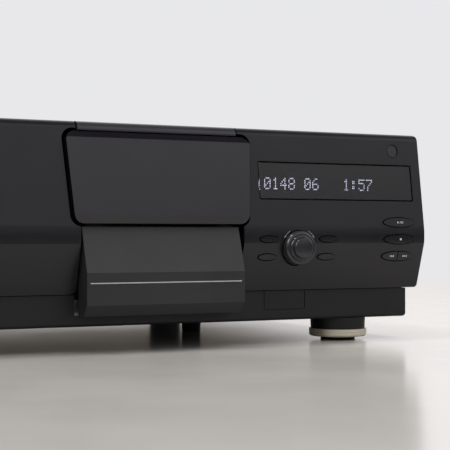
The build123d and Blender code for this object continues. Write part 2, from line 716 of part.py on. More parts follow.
def make_disc_lever():
    """The arm that kicks a played disc back towards its slot."""
    foot, tip = (carousel_y + lever_y, lever_z), (carousel_y + finger_y, finger_z)
    bar = SlotCenterToCenter(math.hypot(tip[0] - foot[0], tip[1] - foot[1]), 6.0)
    turn = math.degrees(math.atan2(tip[1] - foot[1], tip[0] - foot[0]))
    bar = Pos((foot[0] + tip[0]) / 2, (foot[1] + tip[1]) / 2) * Rot(0, 0, turn) * bar
    body = across(bar, (-4.2, -2.2)) + mech_rod(4.2, (-7.0, -2.2), lever_y, lever_z)
    body += mech_rod(1.6, (-4.2, 1.6), finger_y, finger_z)
    return body - mech_rod(2.05, (-8, -1), lever_y, lever_z)


def make_lever_bracket():
    body = mech_block((-12.0, -7.4), (lever_y - 6, lever_y + 6), (floor_z, lever_z + 4.5))
    body += mech_block((-20.0, -12.0), (lever_y - 6, lever_y + 6), (floor_z, floor_z + 2.0))
    return body + mech_rod(2.0, (-7.4, -1.4), lever_y, lever_z)


# ---- chassis, covers and rear ---------------------------------------------------------------------------
def make_chassis():
    inner_half = plinth_half - wall - 0.3
    side = cover_half - sheet - 0.2
    y0, y1, y2 = plinth_face + wall + 0.2, 22.0, cover_back - 1.4
    plan = polygon((-inner_half, y0), (inner_half, y0), (inner_half, y1), (side, y1), (side, y2),
                   (-side, y2), (-side, y1), (-inner_half, y1))
    body = upright(plan, (body_low_z, floor_z))
    for x in (-side, side - 1.2):
        body += block((x, x + 1.2), (y1, y2), (body_low_z, 34.0))
    for low, high in ((-inner_half, -56.0), (56.0, inner_half)):
        body += block((low, high), (y0, y0 + 1.2), (body_low_z, 36.0))
    # stiffening beads across the floor
    for y in (70.0, 330.0):
        bead = block((-170, -126), (y - 3, y + 3), (body_low_z - 0.6, body_low_z + 0.1))
        body = body.fuse(*mirrored(bead))
    return body


def make_cover():
    half, back = cover_half, cover_back
    outer = rectangle((-half, half), (body_low_z - 10, cover_top_z), 2.5)
    inner = rectangle((-half + sheet, half - sheet), (body_low_z - 12, cover_top_z - sheet), 1.5)
    body = through(outer - inner, (fascia_back + 0.3, back))
    body &= block((-half - 1, half + 1), (0, back + 1), (body_low_z + 0.2, cover_top_z + 1))
    for k in range(12):
        slot = Pos(-160.0 + 6.0 * k, 360.0) * RectangleRounded(2.4, 44, 1.19)
        body -= upright(slot, (cover_top_z - 5, cover_top_z + 5))
        slot = Pos(94.0 + 6.0 * k, 360.0) * RectangleRounded(2.4, 44, 1.19)
        body -= upright(slot, (cover_top_z - 5, cover_top_z + 5))
    return body


def make_rear():
    half = cover_half - sheet - 0.2
    top = cover_top_z - sheet - 0.1
    body = through(rectangle((-half, half), (floor_z + 0.1, top), 1.9), (cover_back - 1.2, cover_back))
    body -= block((-191.0, -149.0), (400, 410), (40.5, 59.5))
    body -= block((-138.0, -126.0), (400, 410), (42.0, 54.0))
    body -= block((158.0, 184.0), (400, 410), (84.0, 102.0))
    return body


jack_x = (-182.0, -158.0)
jack_z = 50.0


def make_jack_block():
    return block((-190.8, -149.2), (392.0, cover_back + 0.6), (31.8, 59.3)) - \
        block((-193, -147), (404.6, 406.1), (31, 40.7))


def make_jacks():
    jacks = []
    for x in jack_x:
        start, end = cover_back + 0.6, cover_back + 8.6
        jack = rod(4.15, (x, start, jack_z), (x, end, jack_z))
        jack -= rod(3.5, (x, end - 1.5, jack_z), (x, end + 1, jack_z))
        jacks.append(jack + rod(1.3, (x, end - 1.5, jack_z), (x, end - 0.4, jack_z)))
    return jacks


def make_optical():
    body = block((-137.8, -126.2), (394.0, cover_back + 1.4), (31.8, 53.8))
    body -= block((-140, -124), (404.6, 406.1), (31, 42.2))
    return body - block((-135.5, -128.5), (cover_back + 0.6, 410), (44.5, 51.5))


def make_inlet():
    body = block((158.2, 183.8), (390.0, cover_back + 1.6), (84.2, 101.8))
    well = Pos(171.0, 93.0) * RectangleRounded(15.0, 8.6, 4.2)
    body -= through(well, (cover_back - 6.5, 420))
    for x in (166.7, 175.3):
        body += rod(1.15, (x, cover_back - 7.0, 93.0), (x, cover_back + 0.6, 93.0))
    return body


def make_main_board():
    outline = polygon((-212, 402), (-212, 318), (-171, 318), (-112, 378), (-112, 402))
    return upright(outline, (30.2, 31.8))


def make_board_posts():
    return [rod(3.0, (x, y, floor_z), (x, y, 30.2)) for x, y in ((-207, 323), (-207, 397), (-118, 397))]


def make_components():
    """Capacitors, a heat sink and two chips on the main board."""
    parts = [rod(r, (x, y, 31.8), (x, y, 31.8 + h)) for x, y, r, h in
             ((-203, 330, 5.0, 20.0), (-203, 344, 5.0, 20.0), (-190, 330, 4.0, 14.0),
              (-150, 384, 3.0, 10.0), (-203, 358, 3.2, 11.0))]
    parts.append(block((-184, -164), (346, 362), (31.8, 34.0)))
    sink = block((-208, -205), (364, 390), (31.8, 62.0))
    for k in range(4):
        sink += block((-205, -196), (364 + 8 * k, 366 + 8 * k), (31.8, 62.0))
    return parts + [sink]


core_x, core_y = (156.0, 204.0), (362.0, 398.0)


def make_transformer():
    core = block(core_x, core_y, (floor_z, 60.0))
    for x in ((core_x[0] + 8, core_x[0] + 18), (core_x[1] - 18, core_x[1] - 8)):
        core -= block(x, (core_y[0] - 1, core_y[1] + 1), (floor_z + 9, 52.0))
    feet = block((core_x[0] - 8, core_x[1] + 8), (core_y[0] + 8, core_y[1] - 8), (floor_z, floor_z + 1.5))
    return core + feet


def make_windings():
    x = (core_x[0] + 8.2, core_x[1] - 8.2)
    coil = block(x, (core_y[0] - 7, core_y[1] + 5), (floor_z + 9.5, 51.5))
    return coil - block((core_x[0] + 18.0, core_x[1] - 18.0), core_y, (floor_z, 60.0))


foot_x, foot_y = 162.9, 25.0


def front_foot(profile):
    """Two turned pieces under the front corners."""
    piece = Pos(foot_x, foot_y) * revolve(Plane.XZ * polygon(*profile), Axis.Z, 360)
    return mirrored(piece)


def make_rear_feet():
    """Two round feet at the back and the small one under the middle."""
    profile = ((0, 0), (14.0, 0), (15.0, 1.0), (16.0, body_low_z), (0, body_low_z))
    piece = Pos(170, 372) * revolve(Plane.XZ * polygon(*profile), Axis.Z, 360)
    profile = ((0, 0), (7.2, 0), (7.8, 0.6), (8.6, body_low_z), (0, body_low_z))
    return mirrored(piece) + [Pos(94.8, 148.0) * revolve(Plane.XZ * polygon(*profile), Axis.Z, 360)]


def screw_head(x, y, z, axis):
    head = Plane(origin=(x, y, z), z_dir=axis) * polygon(
        *[(3.4 * math.cos(math.radians(a)), 3.4 * math.sin(math.radians(a))) for a in range(0, 360, 30)])
    return extrude(head, 1.6, taper=20)


def make_screws():
    """Heads on the cover's sides and along the rear panel."""
    heads = []
    for y in (70.0, 370.0):
        heads.append(screw_head(cover_half, y, 30.0, (1, 0, 0)))
        heads.append(screw_head(-cover_half, y, 30.0, (-1, 0, 0)))
    for x, z in ((-205.0, 148.0), (0.0, 148.0), (205.0, 148.0), (-205.0, 26.0), (205.0, 26.0),
                 (-170.0, 64.0), (-143.5, 47.0)):
        heads.append(screw_head(x, cover_back, z, (0, 1, 0)))
    return heads


# ---- writing the nodes ------------------------------------------------------------------------------------
keep("front_fascia", make_fascia())
keep("front_plinth", make_plinth())
keep("header_bar", make_header())
keep("display_window", make_display_window())
keep("display_tube", make_display_tube())
keep("remote_eye", make_eye())
keep("control_boards", Compound(make_control_board()))
keep("key_switches", Compound(make_switches()))
keep("standby_lamp", rod(1.9, (lamp_x, surface(lamp_z) - 0.3, lamp_z), (lamp_x, 12.9, lamp_z)))
for name, (x, z) in small_keys.items():
    keep(name, make_key(small_key, x, z))
for name, (x, z) in large_keys.items():
    keep(name, make_key(large_key, x, z))
keep("skip_back_key", make_half_key(-1))
keep("skip_forward_key", make_half_key(1))
keep("power_key", make_key(large_key, power_x, power_z))
keep("jog_knob", Compound([make_knob(), rod(3.0, (knob_x, -8.6, knob_z), (knob_x, 10.5, knob_z))]))
keep("jog_encoder", make_encoder())

keep("door_window", make_door_window())
keep("door_frame", make_door_frame())
keep("door_panel", make_door_panel())
keep("door_line", block((-57.0, 57.0), (-17.35, -16.9), (47.65, 48.35)))
keep("door_sector", make_door_sector())
keep("door_hinge_pins", Compound(make_hinge_pins()))
keep("hinge_brackets", Compound([hinge_bracket(-1), hinge_bracket(1)]))
keep("damper_case", make_damper_case())
keep("damper_pinion", make_damper_pinion())
keep("latch_case", make_latch_case())
keep("latch_plunger", make_latch_plunger())

keep("carousel_tray", make_tray())
keep("disc_rack", make_disc_rack())
keep("carousel_guide_ring", make_guide_ring())
keep("carousel_pinion", make_carousel_pinion())
keep("carousel_motor", make_carousel_motor())

keep("mechanism_plate", make_mech_plate())
keep("guide_rods", Compound(make_guide_rods()))
keep("mechanism_motors", Compound([make_spindle_motor(), make_sled_motor()]))
keep("turntable", make_turntable())
keep("pickup_sled", Compound([make_pickup_sled(), make_lens()]))
keep("sled_gear", make_sled_gear())
keep("mechanism_stands", Compound([make_clamp_stand(), make_clamp_pin(), make_lever_bracket()]))
keep("clamp_arm", make_clamp_arm())
keep("clamp_puck", make_clamp_puck())
keep("disc_lever", make_disc_lever())

keep("bottom_chassis", make_chassis())
keep("top_cover", make_cover())
keep("rear_panel", make_rear())
keep("rear_sockets", Compound([make_jack_block(), make_optical()]))
keep("phono_jacks", Compound(make_jacks()))
keep("mains_inlet", make_inlet())
keep("main_board", Compound([make_main_board(), *make_board_posts(), *make_components()]))
keep("power_transformer", Compound([make_transformer(), make_windings()]))
keep("front_feet", Compound(front_foot(((0, 8.5), (20.9, 8.5), (21.3, body_low_z), (0, body_low_z)))))
keep("foot_rings", Compound(front_foot(((0, 2.7), (21.0, 2.7), (22.15, 3.7), (22.15, 8.5), (0, 8.5)))))
keep("foot_pads", Compound(front_foot(((0, 0), (13.2, 0), (13.2, 2.7), (0, 2.7)))))
keep("rear_feet", Compound(make_rear_feet()))
keep("cover_screws", Compound(make_screws()))
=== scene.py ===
import math
import bpy
import numpy as np
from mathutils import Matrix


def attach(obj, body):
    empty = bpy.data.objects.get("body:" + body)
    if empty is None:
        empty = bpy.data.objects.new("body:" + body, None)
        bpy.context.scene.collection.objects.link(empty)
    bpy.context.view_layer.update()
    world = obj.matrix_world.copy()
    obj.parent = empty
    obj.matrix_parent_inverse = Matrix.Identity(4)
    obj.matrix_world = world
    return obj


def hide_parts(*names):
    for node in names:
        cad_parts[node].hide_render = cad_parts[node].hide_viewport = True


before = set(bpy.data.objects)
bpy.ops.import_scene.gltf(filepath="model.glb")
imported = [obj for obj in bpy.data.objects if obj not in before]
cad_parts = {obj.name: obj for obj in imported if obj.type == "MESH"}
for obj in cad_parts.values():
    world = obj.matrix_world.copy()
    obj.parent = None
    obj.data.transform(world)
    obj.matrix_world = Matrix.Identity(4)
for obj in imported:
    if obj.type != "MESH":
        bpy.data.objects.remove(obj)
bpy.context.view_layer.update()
print("frame loaded:", len(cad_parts), "nodes")

mm = 0.001  # lengths below are in mm, from the fascia's top edge backwards, unless a note says metres
depthShift = -0.1982  # metres from the frame's origin to the fascia's top edge


def tone(hexText):
    # sRGB hex to the linear values that the shader works in, by the standard's own curve
    parts = [int(hexText[k:k + 2], 16) / 255 for k in (1, 3, 5)]
    return tuple(c / 12.92 if c < 0.04045 else ((c + 0.055) / 1.055) ** 2.4 for c in parts) + (1.0,)


def addNode(tree, kind, settings={}, links={}):
    # adds a node, sets its inputs or its own options, and links its inputs
    node = tree.nodes.new(kind)
    for key, value in settings.items():
        if isinstance(key, str) and hasattr(node, key):
            setattr(node, key, value)
        else:
            node.inputs[key].default_value = value
    for key, source in links.items():
        tree.links.new(source, node.inputs[key])
    return node


def newMaterial(name, shaderSettings):
    # a material with one Principled shader, whose plain values are set on its own sockets
    material = bpy.data.materials.new(name)
    material.use_nodes = True
    tree = material.node_tree
    tree.nodes.clear()
    shader = addNode(tree, "ShaderNodeBsdfPrincipled", shaderSettings)
    addNode(tree, "ShaderNodeOutputMaterial", links={"Surface": shader.outputs[0]})
    place = addNode(tree, "ShaderNodeTexCoord").outputs["Object"]
    return material, tree, shader, place


def twoTones(tree, factor, low, high, fromMin=0.3, fromMax=0.7):
    # blends two hex colours by a texture's value
    span = addNode(tree, "ShaderNodeMapRange", {"From Min": fromMin, "From Max": fromMax},
                   {"Value": factor})
    mix = addNode(tree, "ShaderNodeMix", {"data_type": "RGBA", 6: tone(low), 7: tone(high)},
                  {0: span.outputs[0]})
    return mix.outputs[2]


def spread(tree, factor, low, high, fromMin=0.3, fromMax=0.7):
    # turns a texture's value into a range of numbers
    return addNode(tree, "ShaderNodeMapRange",
                   {"From Min": fromMin, "From Max": fromMax, "To Min": low, "To Max": high},
                   {"Value": factor}).outputs[0]


def ramp(tree, source, stops):
    # a grey level by a value from 0 to 1, straight between its stops
    node = addNode(tree, "ShaderNodeValToRGB", links={0: source})
    elements = node.color_ramp.elements
    while len(elements) < len(stops):
        elements.new(1.0)
    for element, (position, level) in zip(elements, stops):
        element.position = position
        element.color = (level, level, level, 1.0)
    return node.outputs[0]


def around(middle, span):
    # the two ends of a span that is given as changes to a middle value
    return [middle + change for change in span]


def connect(tree, shader, colour, roughness, normal=None):
    # leads a colour, a roughness and, where there is relief, a normal into the shader
    for socket, source in (("Base Color", colour), ("Roughness", roughness), ("Normal", normal)):
        if source:
            tree.links.new(source, shader.inputs[socket])


plastics = {
    # moulded ABS and its grain: colours, roughness, grain size and relief in mm
    "fasciaAbs": {"low": "#111014", "high": "#16141a", "rough": 0.33, "grain": 1.1, "relief": 0.012},
    "plinthAbs": {"low": "#111113", "high": "#161518", "rough": 0.45, "grain": 1.1, "relief": 0.012},
    "headerAbs": {"low": "#2b2a2e", "high": "#323135", "rough": 0.22, "grain": 1.1, "relief": 0.012},
    "panelAbs": {"low": "#2a2a2c", "high": "#303032", "rough": 0.42, "grain": 1.0, "relief": 0.016},
    "keyAbs": {"low": "#111014", "high": "#161519", "rough": 0.3, "grain": 0.8, "relief": 0.006},
    "frameAbs": {"low": "#0c0c0d", "high": "#111112", "rough": 0.5, "grain": 1.2, "relief": 0.01},
    "carouselAbs": {"low": "#1d1e20", "high": "#26272a", "rough": 0.48, "grain": 1.6, "relief": 0.02},
    "mechanismAbs": {"low": "#1a1a1c", "high": "#232326", "rough": 0.52, "grain": 1.4, "relief": 0.015},
    "footAbs": {"low": "#0f0f10", "high": "#161617", "rough": 0.45, "grain": 1.2, "relief": 0.012},
    "socketAbs": {"low": "#131314", "high": "#1b1b1c", "rough": 0.5, "grain": 1.0, "relief": 0.01},
    # acetal, the slippery plastic of gears, levers and plungers, keeps its milky colour
    "gearAcetal": {"low": "#d9d6cb", "high": "#e6e3da", "rough": 0.35, "grain": 2.0, "relief": 0.01},
    "darkAcetal": {"low": "#2c2c30", "high": "#37373c", "rough": 0.38, "grain": 2.0, "relief": 0.01},
    # the washers in the phono jacks
    "redInsulator": {"low": "#8c1714", "high": "#a11e1a", "rough": 0.35, "grain": 0.8, "relief": 0.005},
    "whiteInsulator": {"low": "#d8d6d0", "high": "#e4e2dc", "rough": 0.35, "grain": 0.8, "relief": 0.005},
}
moulding = {"ior": 1.5, "grainDetail": 3.0, "cloudScale": 22.0, "bump": 0.35, "roughSpan": (-0.05, 0.05)}


def mouldedPlastic(name, look):
    # a steel mould etched with a fine grain leaves soft pits, and uneven cooling small changes of gloss.
    # The real grain is about 0.1 mm, too fine for the render, so it's drawn some ten times as coarse
    material, tree, shader, place = newMaterial(name, {"IOR": moulding["ior"]})
    grain = addNode(tree, "ShaderNodeTexNoise",
                    {"Scale": 1 / (look["grain"] * mm), "Detail": moulding["grainDetail"]}, {"Vector": place})
    cloud = addNode(tree, "ShaderNodeTexNoise", {"Scale": moulding["cloudScale"]}, {"Vector": place})
    bump = addNode(tree, "ShaderNodeBump", {"Strength": moulding["bump"], "Distance": look["relief"] * mm},
                   {"Height": grain.outputs[0]})
    connect(tree, shader, twoTones(tree, cloud.outputs[0], look["low"], look["high"]),
            spread(tree, grain.outputs[0], *around(look["rough"], moulding["roughSpan"])), bump.outputs[0])
    return material


acrylics = {
    # hard gloss plastics: colours, colour of the dust specks, roughness
    "doorAcrylic": {"low": "#131016", "high": "#19151c", "dust": "#38353c", "rough": 0.12},
    "eyeAcrylic": {"low": "#140f12", "high": "#1a1316", "dust": "#292023", "rough": 0.14},
    "knobGloss": {"low": "#333235", "high": "#3a393c", "dust": "#3e3d3f", "rough": 0.15},
    "lampLens": {"low": "#3a0d0c", "high": "#4b1210", "dust": "#5a1a18", "rough": 0.2},
}
polish = {"ior": 1.49, "coat": 0.25, "coatRough": 0.06, "cloudScale": 14.0, "speckPitch": 7.0,
          "speckEdge": (0.03, 0.06), "smearScale": 45.0, "smearDetail": 4.0, "roughSpan": (-0.03, 0.05)}


def tintedAcrylic(name, look):
    # dark all through, with a polished face, faint smears and a few specks of dust on it
    material, tree, shader, place = newMaterial(name, {
        "IOR": polish["ior"], "Coat Weight": polish["coat"], "Coat Roughness": polish["coatRough"]})
    cloud = addNode(tree, "ShaderNodeTexNoise", {"Scale": polish["cloudScale"]}, {"Vector": place})
    speck = addNode(tree, "ShaderNodeTexVoronoi", {"Scale": 1 / (polish["speckPitch"] * mm)},
                    {"Vector": place})
    dust = spread(tree, speck.outputs["Distance"], 1.0, 0.0, *polish["speckEdge"])
    dusty = addNode(tree, "ShaderNodeMix", {"data_type": "RGBA", 7: tone(look["dust"])},
                    {0: dust, 6: twoTones(tree, cloud.outputs[0], look["low"], look["high"])})
    smear = addNode(tree, "ShaderNodeTexNoise",
                    {"Scale": polish["smearScale"], "Detail": polish["smearDetail"]}, {"Vector": place})
    connect(tree, shader, dusty.outputs[2],
            spread(tree, smear.outputs[0], *around(look["rough"], polish["roughSpan"])))
    return material


displayFilter = {"clear": 0.86, "ior": 1.49, "low": "#3d3b40", "high": "#454247", "cloudScale": 18.0,
                 "roughSpan": (0.0, 0.004)}


def smokedFilter():
    # the clear smoked pane over the display: light from the tube comes through it, dimmed and faintly violet
    material, tree, shader, place = newMaterial("displayFilterAcrylic", {
        "Transmission Weight": displayFilter["clear"], "IOR": displayFilter["ior"]})
    cloud = addNode(tree, "ShaderNodeTexNoise", {"Scale": displayFilter["cloudScale"]}, {"Vector": place})
    connect(tree, shader, twoTones(tree, cloud.outputs[0], displayFilter["low"], displayFilter["high"]),
            spread(tree, cloud.outputs[0], *displayFilter["roughSpan"]))
    return material


displayTube = {"ior": 1.52, "low": "#0c0b0d", "high": "#111012", "cloudScale": 60.0, "roughSpan": (0.3, 0.4)}


def tubeGlass():
    # the display tube: dark glass, its grey-green anodes just showing as soft clouds
    material, tree, shader, place = newMaterial("tubeGlass", {"IOR": displayTube["ior"]})
    cloud = addNode(tree, "ShaderNodeTexNoise", {"Scale": displayTube["cloudScale"], "Detail": 1.0},
                    {"Vector": place})
    connect(tree, shader, twoTones(tree, cloud.outputs[0], displayTube["low"], displayTube["high"]),
            spread(tree, cloud.outputs[0], *displayTube["roughSpan"]))
    return material


litDots = {"strength": 30.0, "low": "#c2cdd9", "high": "#dbe2ea", "cloudScale": 600.0, "rough": 0.6}


def phosphor():
    # the tube's lit dots: zinc oxide phosphor, a pale blue white
    material, tree, shader, place = newMaterial("litPhosphor", {
        "Roughness": litDots["rough"], "Emission Strength": litDots["strength"]})
    cloud = addNode(tree, "ShaderNodeTexNoise", {"Scale": litDots["cloudScale"], "Detail": 1.0},
                    {"Vector": place})
    glow = twoTones(tree, cloud.outputs[0], litDots["low"], litDots["high"])
    tree.links.new(glow, shader.inputs["Emission Color"])
    tree.links.new(glow, shader.inputs["Base Color"])
    return material


inks = {"keyInk": ("#c9c9c6", "#dcdcd9"), "arcInk": ("#a9a9a8", "#bdbdbb"), "slotInk": ("#bdbdb8", "#d2d2cd")}
printing = {"ior": 1.5, "patchScale": 900.0, "roughSpan": (0.55, 0.7)}


def printedInk(name, colours):
    # pad-printed ink: matt, a little uneven where the pad left less of it
    material, tree, shader, place = newMaterial(name, {"IOR": printing["ior"]})
    patch = addNode(tree, "ShaderNodeTexNoise", {"Scale": printing["patchScale"]}, {"Vector": place})
    connect(tree, shader, twoTones(tree, patch.outputs[0], *colours),
            spread(tree, patch.outputs[0], *printing["roughSpan"]))
    return material


paints = {
    # steel under textured paint: colours, roughness, size and relief of the texture's grains in mm
    "coverPaint": {"low": "#1c1c1e", "high": "#252528", "rough": 0.48, "grain": 1.3, "relief": 0.03},
    "rearPaint": {"low": "#1a1a1b", "high": "#222224", "rough": 0.5, "grain": 1.3, "relief": 0.025},
}
spraying = {"ior": 1.5, "coat": 0.08, "coatRough": 0.3, "roundness": 0.6, "cloudScale": 12.0, "bump": 0.5,
            "roughSpan": (-0.06, 0.06), "grainSpan": (0.1, 0.6)}


def texturedPaint(name, look):
    # baked enamel sprayed over sheet steel: rounded grains of paint with smooth valleys between them
    material, tree, shader, place = newMaterial(name, {
        "IOR": spraying["ior"], "Coat Weight": spraying["coat"], "Coat Roughness": spraying["coatRough"]})
    grains = addNode(tree, "ShaderNodeTexVoronoi",
                     {"Scale": 1 / (look["grain"] * mm), "feature": "SMOOTH_F1",
                      "Smoothness": spraying["roundness"]}, {"Vector": place})
    cloud = addNode(tree, "ShaderNodeTexNoise", {"Scale": spraying["cloudScale"]}, {"Vector": place})
    bump = addNode(tree, "ShaderNodeBump",
                   {"Strength": spraying["bump"], "Distance": look["relief"] * mm, "invert": True},
                   {"Height": grains.outputs["Distance"]})
    rough = spread(tree, grains.outputs["Distance"], *around(look["rough"], spraying["roughSpan"]),
                   *spraying["grainSpan"])
    connect(tree, shader, twoTones(tree, cloud.outputs[0], look["low"], look["high"]), rough, bump.outputs[0])
    return material


metals = {
    # bare metals: two tones, roughness, and how close the marks of the tool lie along each axis, per metre
    "groundRod": {"low": "#a9abad", "high": "#c6c8ca", "rough": 0.2, "marks": (30.0, 1400.0, 30.0)},
    "motorCan": {"low": "#9a9c9e", "high": "#b7b9bb", "rough": 0.3, "marks": (40.0, 40.0, 900.0)},
    "nickelJack": {"low": "#b09a60", "high": "#cdb679", "rough": 0.22, "marks": (300.0, 1500.0, 300.0)},
    "ringAluminium": {"low": "#d6cbb2", "high": "#f8f2e4", "rough": 0.3, "marks": (12.0, 12.0, 2600.0),
                      "metallic": 0.5},  # a thick anodised skin scatters more than bare metal
    "lineAluminium": {"low": "#dcdde0", "high": "#f0f1f2", "rough": 0.55, "marks": (20.0, 900.0, 900.0)},
    "screwSteel": {"low": "#2d2d30", "high": "#3b3b3f", "rough": 0.35, "marks": (500.0, 500.0, 500.0)},
}
turning = {"detail": 4.0, "fineness": 0.6, "bump": 0.15, "relief": 0.01, "roughSpan": (-0.07, 0.09)}


def toolMarkedMetal(name, look):
    # turned, ground or rolled metal: fine marks along the way the tool went, bright and dull by turns
    material, tree, shader, place = newMaterial(name, {"Metallic": look.get("metallic", 1.0)})
    stretched = addNode(tree, "ShaderNodeMapping", {"Scale": look["marks"]}, {"Vector": place})
    marks = addNode(tree, "ShaderNodeTexNoise",
                    {"Scale": 1.0, "Detail": turning["detail"], "Roughness": turning["fineness"]},
                    {"Vector": stretched.outputs[0]})
    bump = addNode(tree, "ShaderNodeBump", {"Strength": turning["bump"], "Distance": turning["relief"] * mm},
                   {"Height": marks.outputs[0]})
    connect(tree, shader, twoTones(tree, marks.outputs[0], look["low"], look["high"]),
            spread(tree, marks.outputs[0], *around(look["rough"], turning["roughSpan"])), bump.outputs[0])
    return material


spangle = {"crystal": 9.0, "low": "#878b8d", "high": "#aeb2b4", "roughSpan": (0.3, 0.5)}


def spangledSteel():
    # hot-dip galvanised sheet: flat zinc crystals some 9 mm across, each catching the light its own way
    material, tree, shader, place = newMaterial("galvanisedSheet", {"Metallic": 1.0})
    crystals = addNode(tree, "ShaderNodeTexVoronoi", {"Scale": 1 / (spangle["crystal"] * mm)},
                       {"Vector": place})
    split = addNode(tree, "ShaderNodeSeparateColor", links={0: crystals.outputs["Color"]})
    connect(tree, shader, twoTones(tree, split.outputs[0], spangle["low"], spangle["high"], 0.0, 1.0),
            spread(tree, split.outputs[1], *spangle["roughSpan"], 0.0, 1.0))
    return material


padRubber = {"ior": 1.52, "pitScale": 1300.0, "bump": 0.5, "relief": 0.03, "low": "#0e0e0e",
             "high": "#191918", "roughSpan": (0.75, 0.9)}


def mouldedRubber():
    # black rubber with a dull bloom and fine pits, for the pads under the feet and for the dark ring of
    # painted shade round the eye
    material, tree, shader, place = newMaterial("footRubber", {"IOR": padRubber["ior"]})
    pits = addNode(tree, "ShaderNodeTexNoise", {"Scale": padRubber["pitScale"]}, {"Vector": place})
    bump = addNode(tree, "ShaderNodeBump",
                   {"Strength": padRubber["bump"], "Distance": padRubber["relief"] * mm},
                   {"Height": pits.outputs[0]})
    connect(tree, shader, twoTones(tree, pits.outputs[0], padRubber["low"], padRubber["high"]),
            spread(tree, pits.outputs[0], *padRubber["roughSpan"]), bump.outputs[0])
    return material


boards = {"ior": 1.5, "trackPitch": 5.0, "uneven": 0.7, "trackEdge": (0.06, 0.1), "roughSpan": (0.32, 0.45),
          "roughFrom": (0.0, 0.2)}


def boardLaminate(name, low, high):
    # laminate under lacquer, with copper tracks 1.2 mm wide round patches some 5 mm across
    material, tree, shader, place = newMaterial(name, {"IOR": boards["ior"]})
    tracks = addNode(tree, "ShaderNodeTexVoronoi",
                     {"Scale": 1 / (boards["trackPitch"] * mm), "feature": "DISTANCE_TO_EDGE",
                      "Randomness": boards["uneven"]}, {"Vector": place})
    connect(tree, shader, twoTones(tree, tracks.outputs[0], high, low, *boards["trackEdge"]),
            spread(tree, tracks.outputs[0], *boards["roughSpan"], *boards["roughFrom"]))
    return material


core = {"metallic": 0.7, "sheet": 1.5, "waver": 0.4, "low": "#2f3032", "high": "#5c5e60",
        "roughSpan": (0.4, 0.6)}


def laminatedCore():
    # the transformer's core: stacked steel sheets 0.5 mm thick, drawn at 1.5 mm so that the stack shows
    material, tree, shader, place = newMaterial("laminatedCore", {"Metallic": core["metallic"]})
    sheets = addNode(tree, "ShaderNodeTexWave",
                     {"bands_direction": "Y", "Scale": 1 / (core["sheet"] * mm) / math.tau,
                      "Distortion": core["waver"]}, {"Vector": place})
    connect(tree, shader, twoTones(tree, sheets.outputs[0], core["low"], core["high"]),
            spread(tree, sheets.outputs[0], *core["roughSpan"]))
    return material


made = {name: mouldedPlastic(name, look) for name, look in plastics.items()}
made.update({name: tintedAcrylic(name, look) for name, look in acrylics.items()})
made.update({name: printedInk(name, colours) for name, colours in inks.items()})
made.update({name: texturedPaint(name, look) for name, look in paints.items()})
made.update({name: toolMarkedMetal(name, look) for name, look in metals.items()})
made.update({"displayFilter": smokedFilter(), "tube": tubeGlass(), "phosphor": phosphor(),
             "sheet": spangledSteel(), "rubber": mouldedRubber(), "core": laminatedCore(),
             "board": boardLaminate("boardLaminate", "#1c3a26", "#3c6a3f"),
             "paperBoard": boardLaminate("paperLaminate", "#5a3f22", "#8a6a3a")})
print("materials made:", len(made))

finishes = {
    "front_fascia": "fasciaAbs", "front_plinth": "plinthAbs", "header_bar": "headerAbs",
    "display_window": "displayFilter", "display_tube": "tube", "remote_eye": "eyeAcrylic",
    "control_boards": "paperBoard", "key_switches": "socketAbs", "standby_lamp": "lampLens",
    "jog_knob": "knobGloss", "jog_encoder": "motorCan", "door_window": "doorAcrylic",
    "door_frame": "frameAbs", "door_panel": "panelAbs", "door_line": "lineAluminium",
    "door_sector": "gearAcetal", "door_hinge_pins": "groundRod", "hinge_brackets": "frameAbs",
    "damper_case": "darkAcetal", "damper_pinion": "gearAcetal", "latch_case": "darkAcetal",
    "latch_plunger": "gearAcetal", "carousel_tray": "carouselAbs", "disc_rack": "carouselAbs",
    "carousel_guide_ring": "darkAcetal", "carousel_pinion": "gearAcetal", "carousel_motor": "motorCan",
    "mechanism_plate": "mechanismAbs", "guide_rods": "groundRod", "mechanism_motors": "motorCan",
    "turntable": "mechanismAbs", "pickup_sled": "darkAcetal", "sled_gear": "gearAcetal",
    "mechanism_stands": "mechanismAbs", "clamp_arm": "mechanismAbs", "clamp_puck": "darkAcetal",
    "disc_lever": "gearAcetal", "bottom_chassis": "sheet", "top_cover": "coverPaint",
    "rear_panel": "rearPaint", "rear_sockets": "socketAbs", "phono_jacks": "nickelJack",
    "mains_inlet": "socketAbs", "main_board": "board", "power_transformer": "core",
    "front_feet": "footAbs", "foot_rings": "ringAluminium", "foot_pads": "rubber",
    "rear_feet": "footAbs", "cover_screws": "screwSteel",
}
for nodeName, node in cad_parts.items():
    finish = made[finishes.get(nodeName, "keyAbs")]  # the nodes not listed are the keys
    node.data.materials.clear()
    node.data.materials.append(finish)
print("nodes finished")


front = {  # the CAD's front: lean above and below the crest, heights and radius, and what stands proud
    "lean": math.radians(8.0), "lowLean": math.radians(17.2), "topZ": 155.0, "shoulderZ": 87.2,
    "creaseZ": 74.5, "crestRadius": 50.0, "keyProud": 0.9, "inkThickness": 0.04}


def frontDepth(z):
    # depth of the fascia's face at a height in mm: a straight slope, then an arc of 50 mm radius round
    # a centre level with the arc's foremost point, then a straight slope back below the crease
    slope = -(front["topZ"] - z) * math.tan(front["lean"])
    centreZ = front["shoulderZ"] - front["crestRadius"] * math.sin(front["lean"])
    centreY = (-(front["topZ"] - front["shoulderZ"]) * math.tan(front["lean"])
               + front["crestRadius"] * math.cos(front["lean"]))
    arc = centreY - np.sqrt(np.maximum(front["crestRadius"] ** 2 - (z - centreZ) ** 2, 0.0))
    creaseY = centreY - math.sqrt(front["crestRadius"] ** 2 - (front["creaseZ"] - centreZ) ** 2)
    low = creaseY + (front["creaseZ"] - z) * math.tan(front["lowLean"])
    return np.where(z >= front["shoulderZ"], slope, np.where(z >= front["creaseZ"], arc, low))


